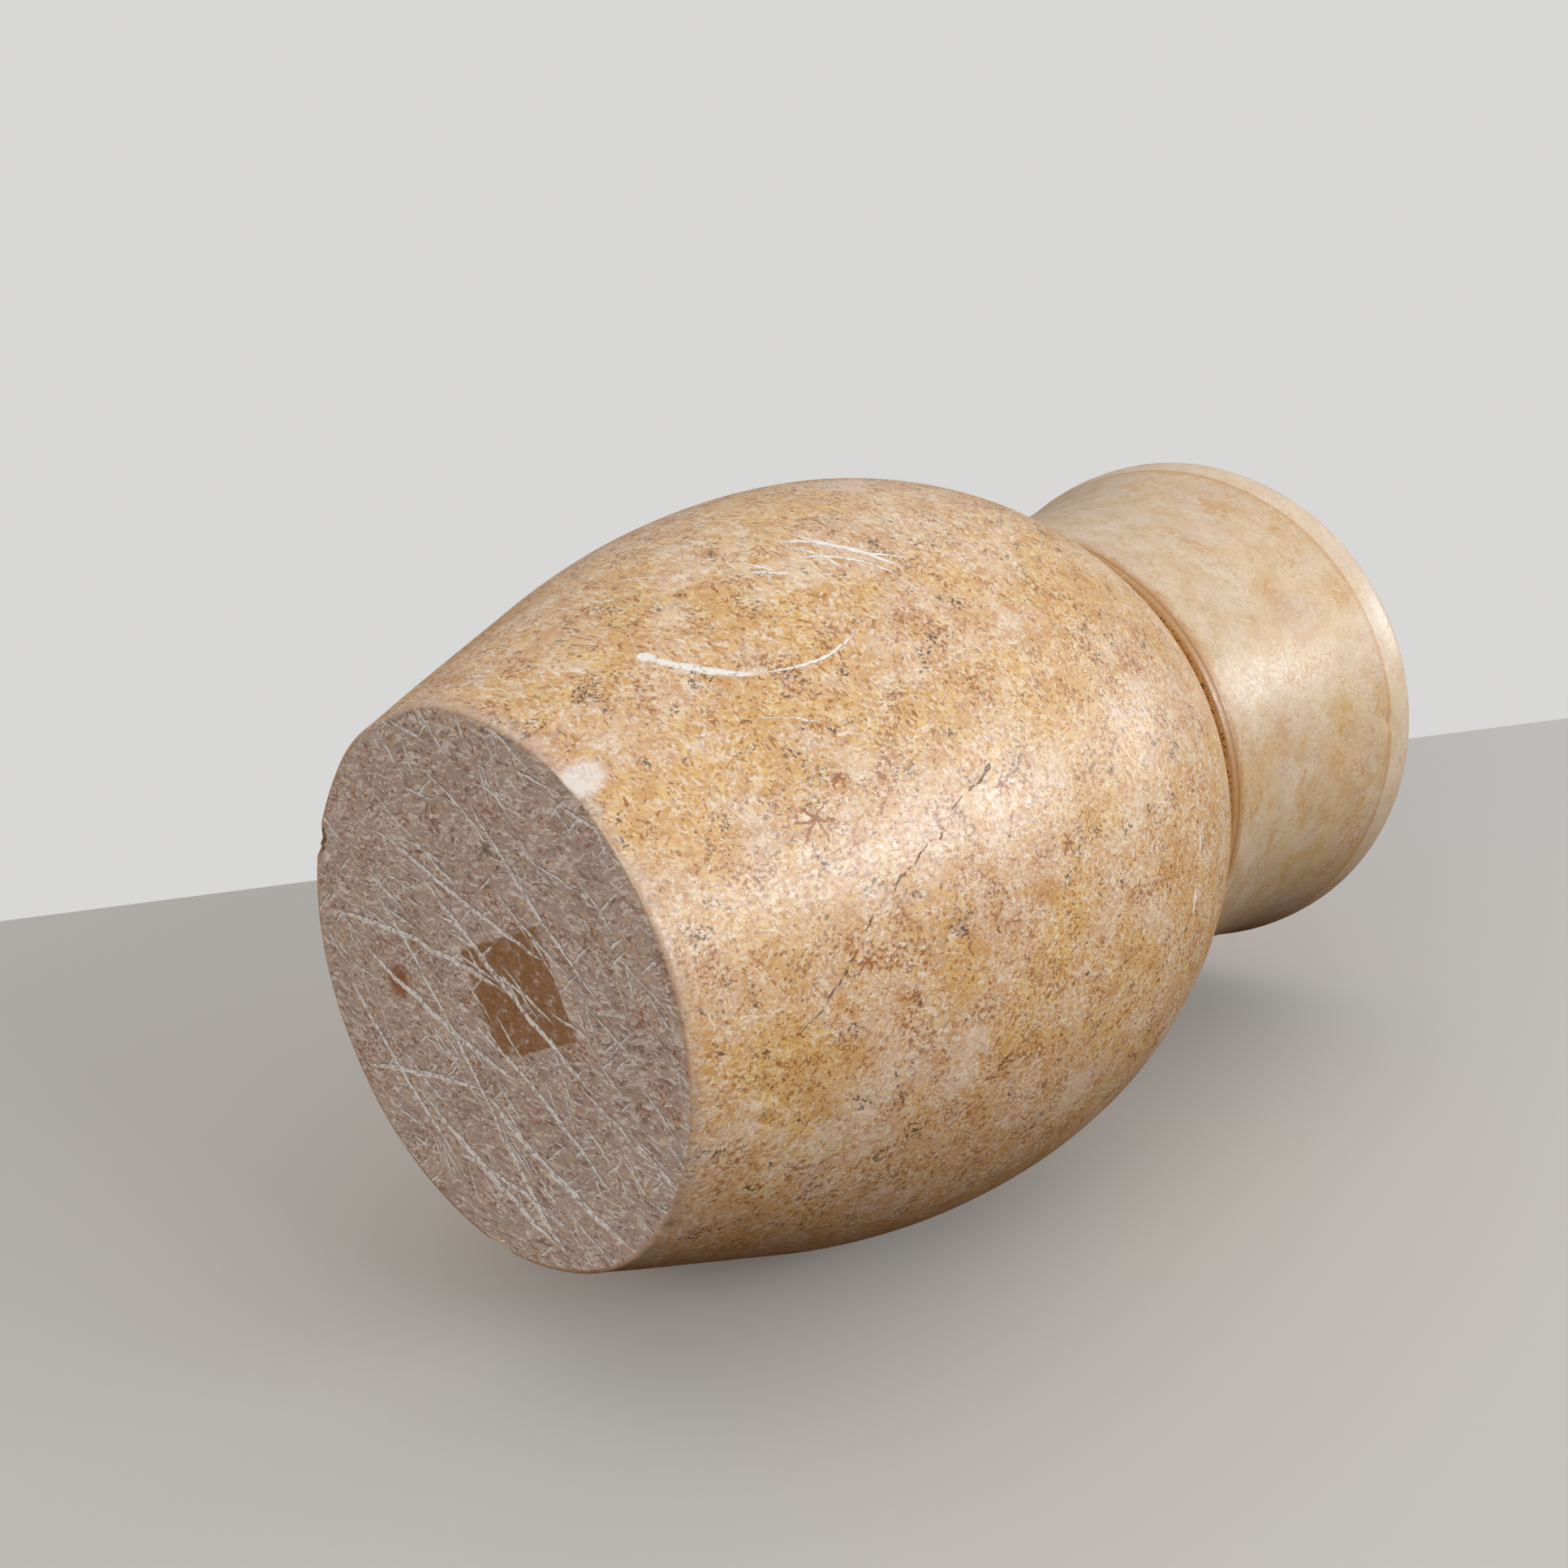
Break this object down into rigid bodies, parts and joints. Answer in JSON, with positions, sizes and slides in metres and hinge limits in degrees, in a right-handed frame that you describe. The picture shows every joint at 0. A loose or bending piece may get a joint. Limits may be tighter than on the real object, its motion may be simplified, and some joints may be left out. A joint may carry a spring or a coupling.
{
  "type": "mortar and pestle",
  "caption": "Deep turned stone mortar with an egg-shaped belly, a grooved neck and a flared collar, and a loose stone pestle leaning in its bore for crushing.",
  "frame": {"origin": "centre of the mortar's flat base, on its turning axis", "axes": "+Z along the mortar's turning axis, from the base up to the mouth; X and Y are equal for the mortar, and the pestle leans towards -X and a little +Y"},
  "size_m": [0.1256, 0.1256, 0.228],
  "materials": {
    "mortar_stone": "polished honey-beige flecked stone, ground matt on the base",
    "pestle_stone": "polished honey-beige flecked stone, matt on the grinding end"
  },
  "bodies": {
    "mortar": {"mortar": "mortar_stone"},
    "pestle": {"pestle": "pestle_stone"}
  },
  "joints": [
    {"name": "pestle_lift", "type": "slide", "parent": "mortar", "child": "pestle", "axis": [0, 0, 1], "range_m": [0, 0.175]}
  ]
}
